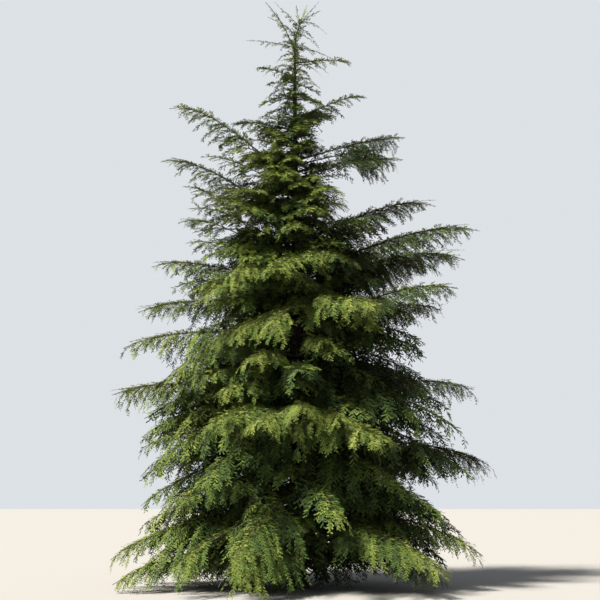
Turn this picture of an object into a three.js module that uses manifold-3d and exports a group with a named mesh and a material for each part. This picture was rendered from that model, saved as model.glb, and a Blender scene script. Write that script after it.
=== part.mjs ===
// A young eastern hemlock standing in the open, about ten metres tall.
//
// One trunk runs from a flat cut at the ground to its tip. Boughs leave it all round, rise or sink, and arch over
// at their ends. Each one carries a mass of foliage: a stem with flat sprays on both sides, longest near the trunk,
// that hang down like those of the real tree. A spray is a thin blade whose toothed outline stands for side twigs.
//
// Millimetres, +Z up. The origin is the middle of the cut under the trunk. +X is the right of the photograph and
// -Y is the side that faces the camera, so azimuth 0 is right, 90 back, 180 left and 270 front.

import * as THREE from "three";
import { mergeVertices } from "three/addons/utils/BufferGeometryUtils.js";
import Module from "manifold-3d";

// Trunk
const TRUNK_TOP = 9060;
const TRUNK_FOOT_RADIUS = 138;
const TRUNK_TOP_RADIUS = 16;
const TRUNK_TAPER_POWER = 0.92;
const TRUNK_SIDES = 15;
const TRUNK_RINGS = [0, 80, 200, 420, 900, 1800, 3000, 4400, 5800, 7200, 8300, TRUNK_TOP];
const FLARE = 62;
const FLARE_HEIGHT = 190;
const FLARE_LOBES = 5;
const FLARE_LOBE_DEPTH = 0.22;
const TRUNK_LEAN = -40;
const TRUNK_SWAY = 26;

// Limbs: a bare bough near the ground, and the stem of each mass. Shares are of the limb's reach.
const BARE_BELOW = 2000;
const BARE_SHARE = 0.27;
const LIMB_BASE_RADIUS = 9;
const LIMB_RADIUS_PER_REACH = 0.0072;
const LIMB_TIP_THINNING = 0.24;
const ARCH_SHARE = 0.13;
const ARCH_PER_RISE = 0.25;
const ARCH_POWER = 4.5;
const MOST_BEND = 0.05;
const BOUGH_SIDES = 6;
const BOUGH_STEPS = 2;
const STEM_SIDES = 3;
const STEM_STEPS = 4;
const STEM_END = 0.82;
const TIP_SINK = 0.02;

// Sprays along a stem. Lengths are shares of the limb's reach, widths and sags shares of the spray's own length.
const SPRAY_PITCH = 330;
const FEWEST_SIDE_SPRAYS = 4;
const FIRST_SPRAY = 0.17;
const FIRST_AFTER_BARE = 0.06;
const LAST_SPRAY = 0.8;
const SPRAY_JITTER = 0.3;
const SPRAY_SHARE = 0.46;
const SPRAY_SHORTEST = 260;
const SPRAY_TAPER_POWER = 0.7;
const SPRAY_LENGTH_SPREAD = [0.85, 1.15];
const SPRAY_ANGLE_AT_TRUNK = 68;
const SPRAY_ANGLE_AT_TIP = 36;
const SPRAY_SAG = [0.3, 0.54];
const SIDE_RISE_SHARE = 0.5;
const SIDE_DIP = 0.12;
const SPRAY_HALF_WIDTH = 0.3;
const TIP_HALF_WIDTH = 0.2;

// The outline of one spray
const TOOTH_PITCH = 330;
const FEWEST_TEETH = 2;
const MOST_TEETH = 3;
const TOOTH_SWEEP = 0.62;
const TOOTH_SAG = 0.36;
const NOTCH_SHARE = 0.3;
const WIDTH_PHASE_AT_ROOT = 0.3;
const WIDTH_PHASE_AT_TIP = 0.92;
const RIDGE_SHARE = 0.018;
const RIDGE_THINNING = 0.4;
const ROOT_SHARE = 0.6;

// Leader: the shoots at the very top
const LEADER_TOP = 9580;
const LEADER_LEAN = 120;
const LEADER_BEND = 0.6;
const LEADER_STEPS = 3;
const LEADER_THINNING = 0.6;
const LEADER_HALF_WIDTH = 0.14;

// Shoots of the leader, each from its own place on the leader's middle line: height of the foot, azimuth in degrees,
// reach, height of the tip, and sag as a share of the way.
const LEADER_SHOOTS = [
  [9570, 10, 310, 9970, 0.1],
  [9560, 40, 130, 9920, 0],
  [9540, 350, 340, 9740, 0.25],
  [9500, 200, 70, 9840, 0],
  [9480, 176, 430, 9930, 0],
  [9080, 184, 530, 9930, 0.35],
  [9300, 190, 500, 9600, 0.25],
  [9550, 348, 460, 9290, 0.7],
  [9460, 20, 390, 9090, 0.55],
  [9340, 335, 370, 9050, 0.4],
  [9100, 178, 830, 9240, 0.12],
  [9100, 8, 640, 8930, 0.25],
  [9260, 265, 360, 9200, 0.35],
  [9180, 95, 400, 9160, 0.35],
];

// Clearances
const SEAT_GAP = 0.3;
const CLEAR_GAP = 6;
const LOWEST = 25;

// Limbs that the photograph shows, from the top down: height of the root on the trunk, azimuth in degrees, reach
// from the trunk's middle, and height of the tip.
const SEEN_LIMBS = [
  [8820, 4, 970, 8840],
  [8540, 190, 660, 8660],
  [8240, 312, 700, 7820],
  [8260, 206, 660, 7920],
  [7780, 2, 1220, 8200],
  [7580, 166, 1120, 7760],
  [7450, 278, 1100, 7250],
  [7060, 348, 1860, 7340],
  [6680, 184, 2130, 7930],
  [6740, 338, 1900, 6860],
  [6300, 288, 1820, 6080],
  [5950, 172, 2360, 7140],
  [5820, 228, 2050, 5980],
  [5600, 6, 2400, 6330],
  [5020, 200, 1950, 6420],
  [5100, 354, 3060, 5760],
  [5240, 160, 2200, 6150],
  [4980, 262, 2300, 4700],
  [4880, 20, 3200, 5560],
  [4840, 182, 2400, 5200],
  [4160, 338, 2760, 4660],
  [4400, 300, 2550, 4200],
  [4560, 168, 2760, 4540],
  [4070, 196, 2840, 3750],
  [4050, 10, 2500, 4560],
  [3400, 272, 2550, 3180],
  [3120, 170, 3170, 3120],
  [3120, 350, 2880, 3120],
  [2850, 244, 2800, 2400],
  [2700, 298, 2750, 2200],
  [2560, 198, 2540, 2180],
  [2340, 12, 3330, 1940],
  [1860, 218, 2420, 1240],
  [1800, 282, 2850, 1000],
  [1650, 250, 3050, 250],
  [1400, 184, 2960, 440],
  [1370, 342, 2990, 540],
  [1200, 314, 3050, 300],
];

// Limbs on the far side, spaced by a rule between a lowest and a highest root. Slopes are of root to tip.
const FAR_LIMBS = 12;
const FAR_ROOTS = [1300, 8560];
const FAR_SPACING_POWER = 1.1;
const FAR_AZIMUTHS = [128, 52, 92];
const FAR_DRIFTS = [-7, 0, 7, 14];
const FAR_REACHES = [3250, 780];
const FAR_TAPER_FROM = 4300;
const FAR_SLOPES = [-0.28, 0.3];

// Looks
const BARK = { color: 0x5a5046, roughness: 0.92, metalness: 0 };
const NEEDLES = { color: 0x4f6a2c, roughness: 0.75, metalness: 0, flatShading: true };

const wasm = await Module();
wasm.setup();

const UP = new THREE.Vector3(0, 0, 1);
const MERGE_WITHIN = 1e-3;
const { degToRad: radians, lerp: mix, clamp } = THREE.MathUtils;

// A small seeded generator, so that the tree grows the same way each time.
function seeded(seed) {
  let state = seed >>> 0;
  return () => {
    state = (state + 0x6d2b79f5) >>> 0;
    let t = Math.imul(state ^ (state >>> 15), 1 | state);
    t = (t + Math.imul(t ^ (t >>> 7), 61 | t)) ^ t;
    return ((t ^ (t >>> 14)) >>> 0) / 4294967296;
  };
}

function between([low, high], share) {
  return mix(low, high, share);
}

function evenly(from, to, steps) {
  return Array.from({ length: steps + 1 }, (_, i) => mix(from, to, i / steps));
}

// A closed geometry with outward faces, as a solid.
function solidOf(geometry) {
  const bare = new THREE.BufferGeometry().setAttribute("position", geometry.getAttribute("position"));
  bare.setIndex(geometry.getIndex());
  const merged = mergeVertices(bare, MERGE_WITHIN);
  return new wasm.Manifold(
    new wasm.Mesh({
      numProp: 3,
      vertProperties: new Float32Array(merged.attributes.position.array),
      triVerts: new Uint32Array(merged.index.array),
    }),
  );
}

// A solid as a geometry, moved so that the given place is its own origin.
function geometryOf(solid, origin) {
  const mesh = solid.getMesh();
  const points = new Float32Array(mesh.numVert * 3);
  for (let i = 0; i < mesh.numVert; i++)
    points.set(mesh.vertProperties.subarray(i * mesh.numProp, i * mesh.numProp + 3), i * 3);
  const geometry = new THREE.BufferGeometry()
    .setAttribute("position", new THREE.BufferAttribute(points, 3))
    .setIndex(new THREE.BufferAttribute(mesh.triVerts, 1));
  geometry.translate(-origin.x, -origin.y, -origin.z);
  geometry.computeVertexNormals();
  return geometry;
}

// The middle of the trunk at a height: it leans a little and sways once.
function trunkMiddle(z) {
  const share = z / TRUNK_TOP;
  return new THREE.Vector3(TRUNK_LEAN * share, TRUNK_SWAY * Math.sin(2 * Math.PI * share), z);
}

function trunkRadius(z) {
  const left = Math.max(0, 1 - z / TRUNK_TOP) ** TRUNK_TAPER_POWER;
  return TRUNK_TOP_RADIUS + (TRUNK_FOOT_RADIUS - TRUNK_TOP_RADIUS) * left;
}

// The trunk, with lobes of root flare at its foot. Growth makes it that much thicker, for cutting seats round it.
function trunkSolid(growth) {
  const profile = [new THREE.Vector2(0, -growth)];
  for (const z of TRUNK_RINGS) {
    const beyond = z === 0 ? -growth : z === TRUNK_TOP ? growth : 0;
    profile.push(new THREE.Vector2(trunkRadius(z) + growth, z + beyond));
  }
  profile.push(new THREE.Vector2(0, TRUNK_TOP + growth));
  const geometry = new THREE.LatheGeometry(profile, TRUNK_SIDES);
  geometry.rotateX(Math.PI / 2);
  const corners = geometry.attributes.position;
  const corner = new THREE.Vector3();
  for (let i = 0; i < corners.count; i++) {
    corner.fromBufferAttribute(corners, i);
    const z = corner.z;
    const lobe = 1 + FLARE_LOBE_DEPTH * Math.cos(FLARE_LOBES * Math.atan2(corner.y, corner.x));
    const flare = FLARE * lobe * Math.exp(-Math.max(0, z) / FLARE_HEIGHT);
    const radius = Math.hypot(corner.x, corner.y);
    if (radius > MERGE_WITHIN) corner.multiplyScalar(1 + flare / radius);
    corner.add(trunkMiddle(z)).setZ(z);
    corners.setXYZ(i, corner.x, corner.y, corner.z);
  }
  return solidOf(geometry);
}

// The middle line of a limb: out from the trunk, up or down to its tip, and arched over at the end.
class LimbCurve extends THREE.Curve {
  constructor({ root, azimuth, reach, tip, bend }) {
    super();
    this.start = trunkMiddle(root);
    this.out = new THREE.Vector3(Math.cos(radians(azimuth)), Math.sin(radians(azimuth)), 0);
    this.side = new THREE.Vector3(-this.out.y, this.out.x, 0);
    Object.assign(this, { root, reach, tip, bend });
  }

  getPoint(t, target = new THREE.Vector3()) {
    const arch = ARCH_SHARE * this.reach + ARCH_PER_RISE * Math.max(0, this.tip - this.root);
    const lift = (this.tip - this.root + arch) * t - arch * t ** ARCH_POWER;
    return target
      .copy(this.start)
      .addScaledVector(this.out, this.reach * t)
      .addScaledVector(this.side, this.bend * this.reach * Math.sin(Math.PI * t))
      .addScaledVector(UP, lift);
  }
}

function limbRadius(limb, t) {
  const base = LIMB_BASE_RADIUS + LIMB_RADIUS_PER_REACH * limb.reach;
  return base * mix(1, LIMB_TIP_THINNING, t);
}

// A tapered bar from ring to ring, where each ring is a place on the curve given by its share of the length.
function bar(curve, rings, sides, radiusAt) {
  const steps = rings.length - 1;
  const geometry = new THREE.CylinderGeometry(1, 1, 1, sides, steps);
  const corners = geometry.attributes.position;
  for (let i = 0; i < corners.count; i++) {
    const t = rings[Math.round((corners.getY(i) + 0.5) * steps)];
    const radius = radiusAt(t);
    const along = curve.getTangent(t);
    const across = new THREE.Vector3().crossVectors(along, UP).normalize();
    const over = new THREE.Vector3().crossVectors(across, along);
    const corner = curve
      .getPoint(t)
      .addScaledVector(across, corners.getX(i) * radius)
      .addScaledVector(over, corners.getZ(i) * radius);
    corners.setXYZ(i, corner.x, corner.y, corner.z);
  }
  return solidOf(geometry);
}

// The place inside a bar where a spray takes root: on the straight line between its two nearest rings.
function insideBar(curve, rings, t) {
  const after = Math.max(1, rings.findIndex((ring) => ring >= t));
  const [from, to] = [rings[after - 1], rings[after]];
  return curve.getPoint(from).lerp(curve.getPoint(to), (t - from) / (to - from));
}

// A spray: a thin blade, ridged on top, with swept teeth on both sides of a sagging rib. Its root end fits inside
// the stem, at the start point. From root to tip it has a row of notches on each side, with a tooth between two.
function spraySolid({ start, heading, length, teeth, sag, halfWidth, rootRadius }) {
  const forward = heading.clone().normalize();
  const right = new THREE.Vector3().crossVectors(forward, UP).normalize();
  const over = new THREE.Vector3().crossVectors(right, forward);
  const corners = [];
  const corner = (share, sideways, upwards) => {
    const p = start
      .clone()
      .addScaledVector(forward, length * share)
      .addScaledVector(right, sideways)
      .addScaledVector(over, upwards)
      .addScaledVector(UP, -sag * length * share * share);
    return corners.push(p.x, p.y, p.z) / 3 - 1;
  };
  const edge = (share, hand, width) => corner(share, hand * width, -TOOTH_SAG * width);
  const widthAt = (share) => halfWidth * Math.sin(Math.PI * mix(WIDTH_PHASE_AT_ROOT, WIDTH_PHASE_AT_TIP, share));
  const ridgeAt = (share) => RIDGE_SHARE * length * mix(1, RIDGE_THINNING, share);
  const inRoot = (share, size) => (share === 0 ? Math.min(size, ROOT_SHARE * rootRadius) : size);

  const shares = evenly(0, 1, teeth);
  const tip = corner(1, 0, 0);
  const ridge = shares.slice(0, teeth).map((share) => corner(share, 0, inRoot(share, ridgeAt(share))));
  const notch = (share, hand) => edge(share, hand, inRoot(share, NOTCH_SHARE * widthAt(share)));
  const notchesOn = (hand) => [...shares.slice(0, teeth).map((share) => notch(share, hand)), tip];
  const toothOn = (hand, i) => edge(mix(shares[i], shares[i + 1], TOOTH_SWEEP), hand, widthAt((i + 0.5) / teeth));
  const [rights, lefts] = [notchesOn(1), notchesOn(-1)];
  const faces = [rights[0], ridge[0], lefts[0]];
  for (let i = 0; i < teeth; i++) {
    const [rightTooth, leftTooth] = [toothOn(1, i), toothOn(-1, i)];
    const [right1, left1, right2, left2] = [rights[i], lefts[i], rights[i + 1], lefts[i + 1]];
    faces.push(ridge[i], right1, rightTooth, ridge[i], rightTooth, right2, right1, right2, rightTooth);
    faces.push(ridge[i], leftTooth, left1, ridge[i], left2, leftTooth, left1, leftTooth, left2);
    faces.push(right1, left1, left2);
    if (right2 === left2) continue;
    faces.push(ridge[i], right2, ridge[i + 1], ridge[i], ridge[i + 1], left2, right1, left2, right2);
  }
  const geometry = new THREE.BufferGeometry()
    .setAttribute("position", new THREE.Float32BufferAttribute(corners, 3))
    .setIndex(faces);
  return solidOf(geometry);
}

// What has been placed so far, so that nothing new comes near another piece.
const placed = [];

function boxesMeet(a, b, gap) {
  return [0, 1, 2].every((k) => a.min[k] - gap < b.max[k] && b.min[k] - gap < a.max[k]);
}

// True if a new piece is off the ground and clear of everything placed, apart from the stem that it grows on.
function isClear(solid, ownStem) {
  const box = solid.boundingBox();
  if (box.min[2] < LOWEST) return false;
  return placed.every((other) => {
    const isFar = other.solid === ownStem || !boxesMeet(box, other.box, CLEAR_GAP);
    return isFar || solid.minGap(other.solid, CLEAR_GAP) >= CLEAR_GAP;
  });
}

function keepPlaces(solids) {
  for (const solid of solids) placed.push({ solid, box: solid.boundingBox() });
}

// A spray beside the stem: it leaves at an angle, dips and sags.
function sideSpray(limb, t, hand) {
  const { curve, random } = limb;
  const angle = hand * radians(mix(SPRAY_ANGLE_AT_TRUNK, SPRAY_ANGLE_AT_TIP, t));
  const heading = curve.getTangent(t).applyAxisAngle(UP, angle);
  heading.z = SIDE_RISE_SHARE * heading.z - SIDE_DIP;
  const fullLength = Math.max(SPRAY_SHORTEST, SPRAY_SHARE * limb.reach * (1 - t) ** SPRAY_TAPER_POWER);
  const length = fullLength * between(SPRAY_LENGTH_SPREAD, random());
  return { t, heading, length, sag: between(SPRAY_SAG, random()), halfWidth: SPRAY_HALF_WIDTH * length };
}

// The spray that carries the stem on to the limb's tip.
function tipSpray(limb) {
  const t = STEM_END - TIP_SINK;
  const heading = limb.curve.getPoint(1).sub(insideBar(limb.curve, limb.stemRings, t));
  const length = heading.length();
  return { t, heading, length, sag: 0, halfWidth: TIP_HALF_WIDTH * length };
}

// The sprays of one mass: alternately left and right along its stem, and one at its tip.
function spraysOf(limb) {
  const first = Math.max(FIRST_SPRAY, limb.bare + FIRST_AFTER_BARE);
  const count = Math.max(FEWEST_SIDE_SPRAYS, Math.round((limb.reach * (LAST_SPRAY - first)) / SPRAY_PITCH));
  const sides = Array.from({ length: count }, (_, k) => {
    const share = (k + SPRAY_JITTER * limb.random()) / count;
    return sideSpray(limb, mix(first, LAST_SPRAY, share), k % 2 === 0 ? 1 : -1);
  });
  const solids = [...sides, tipSpray(limb)].map((spray) => {
    const start = insideBar(limb.curve, limb.stemRings, spray.t);
    const teeth = clamp(Math.round(spray.length / TOOTH_PITCH), FEWEST_TEETH, MOST_TEETH);
    return spraySolid({ ...spray, start, teeth, rootRadius: limbRadius(limb, spray.t) });
  });
  return solids.filter((solid) => isClear(solid, limb.stem));
}

// The far side's limbs: roots spaced from the ground up, reaching less towards the top.
function farLimbs() {
  return Array.from({ length: FAR_LIMBS }, (_, k) => {
    const share = (k / (FAR_LIMBS - 1)) ** FAR_SPACING_POWER;
    const root = between(FAR_ROOTS, share);
    const azimuth = FAR_AZIMUTHS[k % FAR_AZIMUTHS.length] + FAR_DRIFTS[k % FAR_DRIFTS.length];
    const above = clamp((root - FAR_TAPER_FROM) / (FAR_ROOTS[1] - FAR_TAPER_FROM), 0, 1);
    const reach = between(FAR_REACHES, above);
    return [root, azimuth, reach, root + reach * between(FAR_SLOPES, share)];
  });
}

function sideWord(azimuth) {
  return ["right", "back", "left", "front"][Math.round(azimuth / 90) % 4];
}

// Every limb from the ground up, with its name, its own seed and the share of it that is a bare bough.
function allLimbs() {
  const rows = [...SEEN_LIMBS, ...farLimbs()].sort((a, b) => a[0] - b[0]);
  return rows.map(([root, azimuth, reach, tip], k) => {
    const random = seeded(k + 1);
    const bend = MOST_BEND * (2 * random() - 1);
    const curve = new LimbCurve({ root, azimuth, reach, tip, bend });
    const name = `${String(k + 1).padStart(2, "0")}_${sideWord(azimuth)}`;
    return { name, reach, curve, random, bare: root < BARE_BELOW ? BARE_SHARE : 0 };
  });
}

// A limb's bare bough, if it has one, and the stem of its mass, both cut clear of the trunk.
function growWood(limb, seat) {
  const radiusAt = (t) => limbRadius(limb, t);
  if (limb.bare) {
    limb.bough = bar(limb.curve, evenly(0, limb.bare, BOUGH_STEPS), BOUGH_SIDES, radiusAt).subtract(seat);
    limb.stemRings = evenly(limb.bare + SEAT_GAP / limb.reach, STEM_END, STEM_STEPS - 1);
  } else {
    limb.stemRings = evenly(0, STEM_END, STEM_STEPS);
  }
  limb.stem = bar(limb.curve, limb.stemRings, STEM_SIDES, radiusAt).subtract(seat);
  const wood = [limb.bough, limb.stem].filter(Boolean);
  if (!wood.every((solid) => isClear(solid))) throw new Error(`limb ${limb.name} comes too near another`);
  keepPlaces(wood);
}

function growMass(limb) {
  const sprays = spraysOf(limb);
  keepPlaces(sprays);
  limb.mass = wasm.Manifold.union([limb.stem, ...sprays]);
}

// One shoot of the leader. It starts higher than straight at its tip, by as much as it sags on the way.
function leaderShoot([foot, azimuth, reach, tip, sag], curve, rings, radiusAt) {
  const t = (foot - TRUNK_TOP) / (LEADER_TOP - TRUNK_TOP);
  const start = insideBar(curve, rings, t);
  const turn = radians(azimuth);
  const way = new THREE.Vector3(reach * Math.cos(turn), reach * Math.sin(turn), tip - foot);
  const drop = sag * way.length();
  const heading = way.addScaledVector(UP, drop);
  const length = heading.length();
  return spraySolid({
    start,
    heading,
    length,
    teeth: FEWEST_TEETH,
    sag: drop / length,
    halfWidth: LEADER_HALF_WIDTH * length,
    rootRadius: radiusAt(t),
  });
}

// The leader: a short stem on the trunk's tip with slender shoots round it.
function leaderSolid() {
  const foot = trunkMiddle(TRUNK_TOP).addScaledVector(UP, SEAT_GAP);
  const bend = new THREE.Vector3(foot.x, foot.y, mix(foot.z, LEADER_TOP, LEADER_BEND));
  const head = new THREE.Vector3(foot.x + LEADER_LEAN, foot.y, LEADER_TOP);
  const curve = new THREE.QuadraticBezierCurve3(foot, bend, head);
  const rings = evenly(0, 1, LEADER_STEPS);
  const radiusAt = (t) => TRUNK_TOP_RADIUS * mix(1, LEADER_THINNING, t);
  const shoots = LEADER_SHOOTS.map((row) => leaderShoot(row, curve, rings, radiusAt));
  const stem = bar(curve, rings, STEM_SIDES, radiusAt);
  return wasm.Manifold.union([stem, ...shoots.filter((solid) => isClear(solid))]);
}

const tree = new THREE.Group();

function addNode(name, solid, look, origin) {
  const mesh = new THREE.Mesh(geometryOf(solid, origin), new THREE.MeshStandardMaterial(look));
  mesh.name = name;
  mesh.position.copy(origin);
  tree.add(mesh);
}

// The wood comes first, so that no spray is put across a limb.
const trunk = trunkSolid(0);
const seat = trunkSolid(SEAT_GAP);
const limbs = allLimbs();
for (const limb of limbs) growWood(limb, seat);
keepPlaces([trunk]);
for (const limb of limbs) growMass(limb);

addNode("trunk", trunk, BARK, new THREE.Vector3());
for (const limb of limbs) {
  if (limb.bough) addNode(`bough_${limb.name}`, limb.bough, BARK, limb.curve.getPoint(0));
  addNode(`foliage_${limb.name}`, limb.mass, NEEDLES, limb.curve.getPoint(limb.bare));
}
addNode("foliage_leader", leaderSolid(), NEEDLES, trunkMiddle(TRUNK_TOP));

export default tree;
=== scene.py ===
"""A young eastern hemlock, about ten metres tall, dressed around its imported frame.

The limbs are grown again by the rule of the frame's masses and carried on to finer wood: a limb bears
laterals, a lateral bears branchlets, a branchlet bears twiglets, and all of them bear needles. Lesser
boughs fill the crown between the limbs. All this stays about where the masses reach, and replaces them.

Metres, +Z up. Azimuth 0 is the right of the photograph, 90 its far side, 180 left, 270 the camera's side.
"""

import math

import bpy
import numpy as np
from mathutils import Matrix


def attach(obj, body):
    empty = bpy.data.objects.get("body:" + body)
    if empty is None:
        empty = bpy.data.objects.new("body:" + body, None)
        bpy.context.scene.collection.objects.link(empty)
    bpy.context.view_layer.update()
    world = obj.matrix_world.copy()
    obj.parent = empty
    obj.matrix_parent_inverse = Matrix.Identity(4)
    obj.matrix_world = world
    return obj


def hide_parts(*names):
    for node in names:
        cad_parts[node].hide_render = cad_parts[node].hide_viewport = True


# Trunk
TRUNK_TOP = 9.06
TRUNK_FOOT_RADIUS = 0.138
TRUNK_TOP_RADIUS = 0.016
TRUNK_TAPER_POWER = 0.92
FLARE = 0.062
FLARE_HEIGHT = 0.19
FLARE_LOBES = 5
FLARE_LOBE_DEPTH = 0.22
TRUNK_LEAN = -0.04
TRUNK_SWAY = 0.026
TRUNK_SIDES = 52
TRUNK_RINGS = 180
TRUNK_RING_POWER = 1.7

# Ridges of the trunk's bark, from grids of values around and along it. Depths are shares of its radius.
WANDER_GRID = (7, 60)
RIDGE_GRID = (19, 90)
FINE_GRID = (38, 300)
RIDGE_WANDER = 0.05
RIDGE_POWER = 0.8
RIDGE_DEPTH = 0.1
RIDGE_LEVEL = 0.75
FINE_DEPTH = 0.035

# Limbs. Shares are of the limb's reach.
BARE_BELOW = 2.0
BARE_SHARE = 0.27
LIMB_BASE_RADIUS = 0.009
LIMB_RADIUS_PER_REACH = 0.0072
LIMB_TIP_THINNING = 0.14
LIMB_THINNING_POWER = 0.5
ARCH_SHARE = 0.13
ARCH_PER_RISE = 0.25
ARCH_POWER = 4.5
MOST_BEND = 0.05
LIMB_SIDES = 8
LIMB_RINGS = 22
LIMB_RING_POWER = 1.25
LIMB_DEPTH_IN_TRUNK = 0.5
LIMB_UNEVENNESS = 0.16
COLLAR_SWELL = 0.55
COLLAR_LENGTH = 0.06

# Laterals along a limb. Shares are of its reach, angles are in degrees, and lengths are cut near the top.
FIRST_LATERAL = 0.1
FIRST_AFTER_BARE = 0.05
LATERAL_SHORTEST_SHARE = 0.2
TOP_HEIGHTS = (7.9, 8.7)
TOP_LENGTHS = (1, 0.55)
LATERAL_SPREAD = (0.6, 1.15)
LATERAL_ANGLE_AT_TIP = 28
LATERAL_ANGLE_SPREAD = 6
LATERAL_RADIUS = 0.0022
LATERAL_RADIUS_PER_LENGTH = 0.0042
LATERAL_TO_LIMB_RADIUS = 0.6
SIDE_RISE = 0.05
BRANCHLETS_FROM_LENGTH = 0.22

# Laterals low in the crown and high up, where they sweep outwards under the rising limbs
LOW_UP_TO = 4.0
HIGH_FROM = 6.5
LATERAL_PITCHES = (0.066, 0.05)
LAST_LATERALS = (0.92, 0.85)
LATERAL_SHARES = (0.38, 0.42)
LATERAL_TAPER_POWERS = (0.5, 0.78)
LATERAL_SHORTEST = (0.27, 0.17)
LATERAL_ANGLES = (68, 46)
SIDE_RISE_SHARES = (0.4, 0.12)
LATERAL_SAG_LOW = (0.42, 0.76)
LATERAL_SAG_HIGH = (0.22, 0.5)

# The length of what laterals bear, as a share of their own, near the trunk and at the limb's tip
LATERAL_BEARS_LOW = (0.46, 0.34)
LATERAL_BEARS_HIGH = (0.3, 0.24)
HANG_AT_TRUNK = 2.4
HANG_WHEN_HIGH = 0.5

# How limbs are clothed: the share of its arch that a limb keeps, where its laterals begin, how coarse the
# growth is, how far apart and how long they are, how much lighter or darker their needles' tint is, which
# on the darker kinds is painted shade, how much lighter still the crest is, which is painted light on the
# limb's top, and whether they hang however high the limb stands. Most limbs are plain. Those that the
# photograph shows otherwise are named by the height of the root and the azimuth.
PLAIN = {
    "arch": 0.85, "first": 0.0, "coarse": 1.0, "apart": 1.0,
    "length": 1.0, "tone": 0.0, "crest": 0.8, "hangs": False,
}
# Heavy limbs droop and hang, and their darker needles are painted shade
HEAVY_IN_PAINTED_SHADE = PLAIN | {
    "arch": 0.5, "first": 0.42, "coarse": 0.9, "apart": 0.7,
    "length": 1.2, "tone": -1.8, "hangs": True,
}
SPARSE = PLAIN | {"coarse": 1.05, "apart": 1.6, "length": 0.8, "tone": 0.7}
# Needles painted darker as painted shade, for limbs low on the shaded right
PAINTED_SHADE = PLAIN | {"coarse": 0.9, "length": 1.05, "tone": -1.7}
# Thin limbs' darker needles are painted shade; the shaded one is darker still as painted shade, with no
# lighter crest
THIN = PLAIN | {"first": 0.2, "coarse": 1.5, "length": 0.55, "tone": -0.7}
SHADED = THIN | {"length": 0.5, "tone": -1.8, "crest": 0.0}
# Full limbs: a much lighter crest as painted light on top, and darker laterals as painted shade
FULL = PLAIN | {"apart": 0.68, "tone": -0.4, "crest": 2.0}
CLOTHING = {
    (8.82, 4): SPARSE,
    (7.06, 348): HEAVY_IN_PAINTED_SHADE,
    (6.98, 346): HEAVY_IN_PAINTED_SHADE,
    (6.86, 350): HEAVY_IN_PAINTED_SHADE,
    (6.74, 338): HEAVY_IN_PAINTED_SHADE,
    (5.6, 6): FULL,
    (5.1, 354): FULL,
    (4.88, 20): FULL,
    (4.16, 338): FULL,
    (4.05, 10): FULL,
    (3.4, 272): SHADED,
    (1.8, 282): THIN,
    (3.12, 350): PAINTED_SHADE,
    (2.34, 12): PAINTED_SHADE,
}

# Short shoots all along a limb's upper side
CREST_PITCH = 0.034
LESSER_CREST_PITCH = 0.09
CREST_SPAN = (0.1, 0.93)
CREST_ANGLE = (8, 75)
CREST_RISE = (0.0, 0.7)
CREST_LENGTH = (0.08, 0.3)
CREST_SHORTENING = 0.5
CREST_FULL_REACH = 1.4
CREST_SAG = (0.1, 0.5)
CREST_RADIUS = 0.003

# The last stretch of a limb, which bears needles itself
BARE_WOOD_END = 0.4
TIP_STRETCHES = 9

# Slender forks at the end of a main limb. Shares are of the limb's reach.
FORKS = 3
FORK_FROM = (0.66, 0.84)
FORK_END = (0.95, 1.03)
FORK_ANGLE = (6, 26)
FORK_SAG = (0.02, 0.16)
FORK_LEVELS_OUT = 0.42
FORK_RADIUS = 0.004

# Shoots all round the upper trunk and the leader: short ones, and arcs between limbs. Rises are in degrees.
STEM_SHORT = {
    "count": 150, "heights": (7.3, 9.55), "length": (0.12, 0.3),
    "rise": (5, 55), "sag": (0.1, 0.5), "radius": 0.0025,
}
STEM_ARCS = {
    "count": 34, "heights": (7.5, 9.1), "length": (0.36, 0.68),
    "rise": (8, 40), "sag": (0.45, 0.85), "radius": 0.004,
}
STEM_SHORTENING = 0.5

# Leader
LEADER_TOP = 9.58
LEADER_LEAN = 0.12
LEADER_BEND = 0.6
LEADER_OUTWARD = 0.8
LEADER_RINGS = 14
LEADER_TIP_RADIUS = 0.005
LEADER_SHOOT_THICKNESS = 0.006

# Shoots of the leader: height of the foot, azimuth, reach, height of the tip, and sag
LEADER_SHOOTS = [
    (9.57, 10, 0.31, 9.97, 0.1),
    (9.56, 40, 0.13, 9.92, 0.0),
    (9.54, 350, 0.34, 9.74, 0.25),
    (9.5, 200, 0.07, 9.84, 0.0),
    (9.48, 176, 0.43, 9.93, 0.0),
    (9.08, 184, 0.53, 9.93, 0.35),
    (9.3, 190, 0.5, 9.6, 0.25),
    (9.55, 348, 0.46, 9.29, 0.7),
    (9.46, 20, 0.39, 9.09, 0.55),
    (9.34, 335, 0.37, 9.05, 0.4),
    (9.1, 178, 0.83, 9.24, 0.12),
    (9.1, 8, 0.64, 8.93, 0.25),
    (9.26, 265, 0.36, 9.2, 0.35),
    (9.18, 95, 0.4, 9.16, 0.35),
]

# Degrees from one shoot or bough to the next, where they wind up the trunk
GOLDEN_ANGLE = 137.5

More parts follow.
